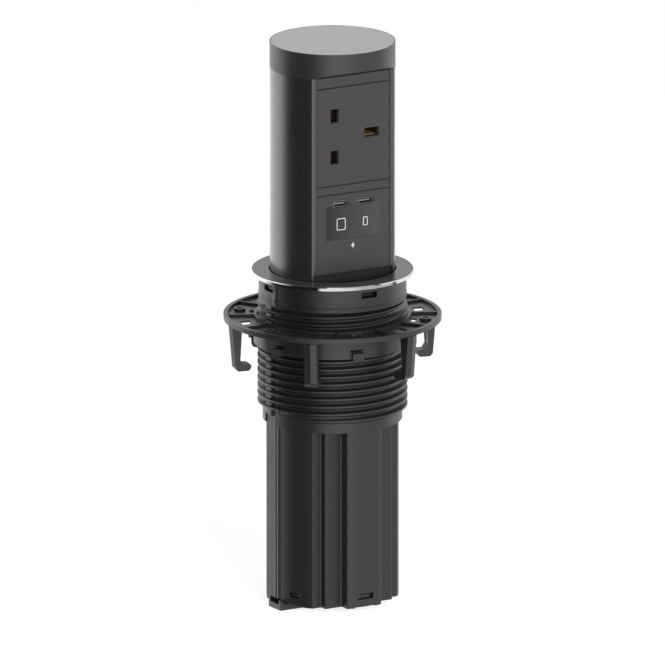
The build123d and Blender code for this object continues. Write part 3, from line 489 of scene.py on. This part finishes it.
def bridge(bm, left, right):
    """Faces between two columns of points."""
    for row in range(len(left) - 1):
        bm.faces.new((left[row], right[row], right[row + 1], left[row + 1]))


def ease(value):
    value = min(1.0, max(0.0, value))
    return value * value * (3 - 2 * value)


def root_radius(azimuth):
    """The thread's root, filled almost to the crests in a strip on each side."""
    return FILLED_R if abs(wrap(azimuth - FILLED_MIDDLE, 180.0)) < FILLED_HALF else ROOT_R


def thread_profile(azimuth):
    """Radius and height from the smooth collar down to the band, at one azimuth."""
    root = root_radius(azimuth)
    turn = (azimuth - FRONT) / 360.0
    half = PITCH / 2 - CREST_HALF
    high, low = THREAD_TOP - END_MARGIN, THREAD_END + END_MARGIN

    def crest(middle):
        inside = min(THREAD_TOP - middle, middle - THREAD_END) - 2 * END_STEP
        return root + (CREST_R - root) * ease(inside / RUN_OUT)

    points = []
    for index in range(-1, THREAD_TURNS):
        middle = FIRST_CREST - PITCH * (index - turn)
        points += [(crest(middle), middle + CREST_HALF), (crest(middle), middle - CREST_HALF)]
        for step in range(1, GROOVE_STEPS):
            angle = math.pi * step / GROOVE_STEPS
            edge = crest(middle if angle < math.pi / 2 else middle - PITCH)
            height = middle - PITCH / 2 + half * math.cos(angle)
            points.append((root + (edge - root) * (1 - math.sin(angle)), height))
    points = [(radius, min(high, max(low, height))) for radius, height in points]
    top = [(SMOOTH_R, THREAD_TOP), (root, THREAD_TOP - END_STEP)]
    return top + points + [(root, THREAD_END + END_STEP), (BAND_R, THREAD_END)]


def column_azimuths():
    """Even steps round the collar, with a close pair at each edge of the filled strips."""
    azimuths = [FRONT - 180 + 360.0 * index / THREAD_COLUMNS for index in range(THREAD_COLUMNS)]
    for middle in (FILLED_MIDDLE, FILLED_MIDDLE + 180):
        for edge in (middle - FILLED_HALF, middle + FILLED_HALF):
            place = FRONT + wrap(edge - FRONT)
            azimuths += [place - FILLED_EDGE_HALF, place + FILLED_EDGE_HALF]
    return sorted(azimuths) + [FRONT + 180]


def build_thread(bm):
    columns = []
    for azimuth in column_azimuths():
        columns.append([bm.verts.new(polar(radius, azimuth, height)) for radius, height in thread_profile(azimuth)])
    for left, right in zip(columns, columns[1:]):
        bridge(bm, left, right)


def build_domes(bm):
    """One small dome in each valley of the thread, in two columns."""
    for azimuth in (DOME_AZIMUTH, DOME_AZIMUTH + 180):
        turn = wrap(azimuth - FRONT) / 360.0
        for index in range(DOME_COUNT):
            place = polar(ROOT_R + DOME_PROUD, azimuth, FIRST_CREST - PITCH * (index + 0.5 - turn))
            made = bmesh.ops.create_icosphere(bm, subdivisions=2, radius=DOME_R * MM)
            bmesh.ops.translate(bm, verts=made["verts"], vec=place)


def build_line(bm):
    """Low closed ridge round the collar, whose foot is in the solid."""
    profile = ((-LINE_SUNK, LINE_HALF), (0.0, LINE_HALF), (LINE_PROUD, 0.0), (0.0, -LINE_HALF),
               (-LINE_SUNK, -LINE_HALF))
    rings = []
    for index in range(LINE_STEPS):
        azimuth = 360.0 * index / LINE_STEPS
        ring = [bm.verts.new(polar(SMOOTH_R + out, azimuth, LINE_HEIGHT + up)) for out, up in profile]
        rings.append(ring + ring[:1])
    for left, right in zip(rings, rings[1:] + rings[:1]):
        bridge(bm, left, right)


def threaded_collar(material):
    """The collar's own solid, whose plain outside gives way to the turns of its thread."""
    bm = mesh_of("threaded_collar")
    bmesh.ops.remove_doubles(bm, verts=bm.verts, dist=SAME_POINT * MM)
    plain = []
    for face in bm.faces:
        centre = face.calc_center_median() / MM
        outside = math.hypot(centre.x, centre.y) > BAND_R + OUTSIDE
        if outside and THREAD_END + NEAR < centre.z < THREAD_TOP - NEAR:
            plain.append(face)
    bmesh.ops.delete(bm, geom=plain, context="FACES")
    build_thread(bm)
    bmesh.ops.remove_doubles(bm, verts=bm.verts, dist=SAME_THREAD_POINT * MM)
    build_domes(bm)
    build_line(bm)
    piece = add_piece("collar_with_thread", bm, material, "mount")
    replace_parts(piece, "threaded_collar")


def recess_hooks(name, node, material, body, hooks):
    """The node's own solid, with its snap hooks tapered and set back, and the cable outlet's floor raised."""
    middle, least, azimuths = hooks
    bm = mesh_of(node)
    for vert in bm.verts:
        place = vert.co / MM
        if abs(place.z - OUTLET_FLOOR) < NEAR:
            vert.co.z += OUTLET_RAISED * MM
        radius, azimuth = math.hypot(place.x, place.y), math.degrees(math.atan2(place.y, place.x))
        if radius >= least and abs(place.z - middle) <= HOOK_REACH:
            away = min((wrap(azimuth - base) for base in azimuths), key=abs)
            height = middle + (place.z - middle) * HOOK_SHARE
            vert.co = polar(radius - HOOK_SUNK, azimuth - away * (1 - HOOK_SHARE), height)
    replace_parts(add_piece(name, bm, material, body), node)


def refine_clamp_ring(material):
    """The clamp ring's own solid, with lower windows over its fingers, slimmer legs with a ridge, and lower hooks."""
    bm = mesh_of("clamp_ring")
    for vert in bm.verts:
        place = vert.co / MM
        azimuth, radius = math.degrees(math.atan2(place.y, place.x)), math.hypot(place.x, place.y)
        if abs(place.z - FINGER_WINDOW_TOP) < NEAR and radius < SKIRT_R:
            vert.co.z -= FINGER_WINDOW_DROP * MM
        leg = LEG_AZIMUTH + LEG_STEP * round((azimuth - LEG_AZIMUTH) / LEG_STEP)
        outward = polar(1.0, leg, 0.0) / MM
        sideways = outward.cross(Vector((0, 0, 1)))
        across, along = sideways.dot(place), outward.dot(place)
        if place.z > LEG_TOP or abs(across) > LEG_HALF or radius < SKIRT_R:
            continue
        if abs(abs(across) - CHANNEL_HALF) < NEAR and along > CHANNEL_MOUTH:
            vert.co += sideways * (math.copysign(RIDGE_FOOT, across) - across) * MM
        if abs(abs(across) - CHANNEL_HALF) < NEAR and abs(along - CHANNEL_FLOOR) < NEAR:
            crest = RIDGE_R - RIDGE_LEAN * (LEG_TOP - place.z)
            vert.co += sideways * (math.copysign(RIDGE_HALF, across) - across) * MM + outward * (crest - along) * MM
        if along < LEG_INNER:
            vert.co += outward * LEG_SLIMMER * MM
        if along < LEG_INNER and abs(place.z - LEG_HOOK_TOP) < NEAR:
            vert.co.z -= LEG_HOOK_LOWER * MM
    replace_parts(add_piece("clamp_ring_with_legs", bm, material, "clamp_ring"), "clamp_ring")


def rounded_outline(width, height, corner):
    """Points round a rectangle with round corners, from its top right corner."""
    points = []
    for quarter, (sx, sz) in enumerate(((1, 1), (-1, 1), (-1, -1), (1, -1))):
        cx, cz = sx * (width / 2 - corner), sz * (height / 2 - corner)
        for step in range(CORNER_STEPS + 1):
            angle = math.radians(90 * (quarter + step / CORNER_STEPS))
            points.append((cx + corner * math.cos(angle), cz + corner * math.sin(angle)))
    return points


def raise_face(bm, outlines, x, z):
    """Prism of the band between two outlines, or of one outline, that stands proud of the face."""
    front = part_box("usb_window")[0].y / MM
    rings = []
    for outline in outlines:
        for y in (front + MARK_PROUD, front - MARK_PROUD):
            ring = [bm.verts.new(Vector((x + px, y, z + pz)) * MM) for px, pz in outline]
            rings.append(ring + ring[:1])
    for back, proud in zip(rings[::2], rings[1::2]):
        bridge(bm, back, proud)
    if len(outlines) == 1:
        bm.faces.new(rings[1][:-1])
    else:
        bridge(bm, rings[0], rings[2])
        bridge(bm, rings[1], rings[3])


def add_marks():
    """Outlines of two devices on the window, and a small generic bolt below it."""
    white = finish("white_print", **WHITE_PRINT)
    for name, width, height, x in DEVICE_MARKS:
        bm = bmesh.new()
        outer = rounded_outline(width, height, DEVICE_CORNER)
        inner = rounded_outline(width - 2 * DEVICE_LINE, height - 2 * DEVICE_LINE, DEVICE_INNER_CORNER)
        raise_face(bm, (outer, inner), x, DEVICE_HEIGHT)
        add_piece(name, bm, white, "tower")
    bm = bmesh.new()
    raise_face(bm, (BOLT,), *BOLT_PLACE)
    add_piece("charging_mark", bm, white, "tower")


def add_camera():
    data = bpy.data.cameras.new("camera")
    data.lens = LENS_PER_METRE * CAMERA_FAR
    data.clip_end = CAMERA_SEES
    camera = add_object("camera", data)
    camera.location = Vector(VIEW_TARGET) * MM + towards(VIEW_AZIMUTH, VIEW_ELEVATION) * CAMERA_FAR
    camera.rotation_euler = (math.radians(90 - VIEW_ELEVATION), 0, math.radians(VIEW_AZIMUTH))
    bpy.context.scene.camera = camera


def add_lamps():
    """Square soft lamps, which reflections don't show."""
    for name, right, watts in LAMPS:
        data = bpy.data.lights.new(name, "AREA")
        data.size = LAMP_SIZE
        data.energy = watts
        lamp = add_object(name, data)
        direction = towards(VIEW_AZIMUTH + right, LAMP_ELEVATION)
        lamp.location = direction * LAMP_FAR
        lamp.rotation_euler = direction.to_track_quat("Z", "Y").to_euler()
        lamp.visible_glossy = False


def add_world():
    """White to the camera, SURROUNDINGS to reflections, and to all else an even light that is dim overhead."""
    world = bpy.data.worlds.new("world")
    bpy.context.scene.world = world
    world.use_nodes = True
    tree = world.node_tree
    ray = axes(tree, tree.nodes.new("ShaderNodeTexCoord").outputs["Generated"])
    azimuth = math_node(tree, "ARCTAN2", ray["Y"], ray["X"])
    from_front = math_node(tree, "SUBTRACT", azimuth, math.radians(FRONT))
    wrapped = math_node(tree, "WRAP", from_front, math.pi, -math.pi)
    ramp = tree.nodes.new("ShaderNodeValToRGB")
    tree.links.new(between(tree, wrapped, -math.pi, math.pi, 0.0, 1.0), ramp.inputs[0])
    elements = ramp.color_ramp.elements
    while len(elements) < len(SURROUNDINGS):
        elements.new(0.5)
    for element, (degrees, level) in zip(elements, SURROUNDINGS):
        element.position = (degrees + 180) / 360
        element.color = (level, level, level, 1)
    kind = tree.nodes.new("ShaderNodeLightPath").outputs
    mirrored = math_node(tree, "MAXIMUM", kind["Is Glossy Ray"], kind["Is Transmission Ray"])
    ambient = between(tree, ray["Z"], *CEILING_RISE, AMBIENT, AMBIENT * CEILING)
    around = between(tree, mirrored, 0.0, 1.0, ambient, ramp.outputs["Color"])
    shown = between(tree, kind["Is Camera Ray"], 0.0, 1.0, around, 1.0)
    tree.links.new(shown, tree.nodes["Background"].inputs["Color"])


def add_floor():
    """Pale floor under the end cap, white to the camera, with the object's shadow on it."""
    bm = bmesh.new()
    bmesh.ops.create_circle(bm, cap_ends=True, radius=FLOOR_RADIUS, segments=FLOOR_SIDES)
    bmesh.ops.translate(bm, verts=bm.verts, vec=Vector((0, 0, CAD_BOX[0][2] - FLOOR_BELOW * MM)))
    mesh = bpy.data.meshes.new("floor")
    bm.to_mesh(mesh)
    bm.free()
    floor = add_object("floor", mesh)
    material, tree, inputs = new_material("floor")
    mesh.materials.append(material)
    grain = noise(tree, own_place(tree), FLOOR_GRAIN)
    tree.links.new(tint(tree, FLOOR_COLOUR, spread(tree, grain, *FLOOR_MOTTLE)), inputs["Base Color"])
    inputs["Roughness"].default_value = FLOOR_ROUGH
    inputs["Specular IOR Level"].default_value = 0.0
    inputs["Emission Color"].default_value = NEUTRAL
    to_camera = tree.nodes.new("ShaderNodeLightPath").outputs["Is Camera Ray"]
    tree.links.new(math_node(tree, "MULTIPLY", to_camera, FLOOR_GLOW), inputs["Emission Strength"])
    floor.visible_glossy = False


def main():
    finishes = slot_finishes()
    dress_nodes(finishes)
    threaded_collar(finishes["collar"])
    recess_hooks("bezel_with_hooks", "bezel_ring", finishes["bezel"], "mount", BEZEL_HOOKS)
    recess_hooks("end_cap_with_hooks", "end_cap", finishes["end_cap"], "mount", CAP_HOOKS)
    refine_clamp_ring(finishes["clamp"])
    add_marks()
    add_camera()
    add_floor()
    add_world()
    add_lamps()
    bpy.context.scene.view_settings.view_transform = "Standard"


main()
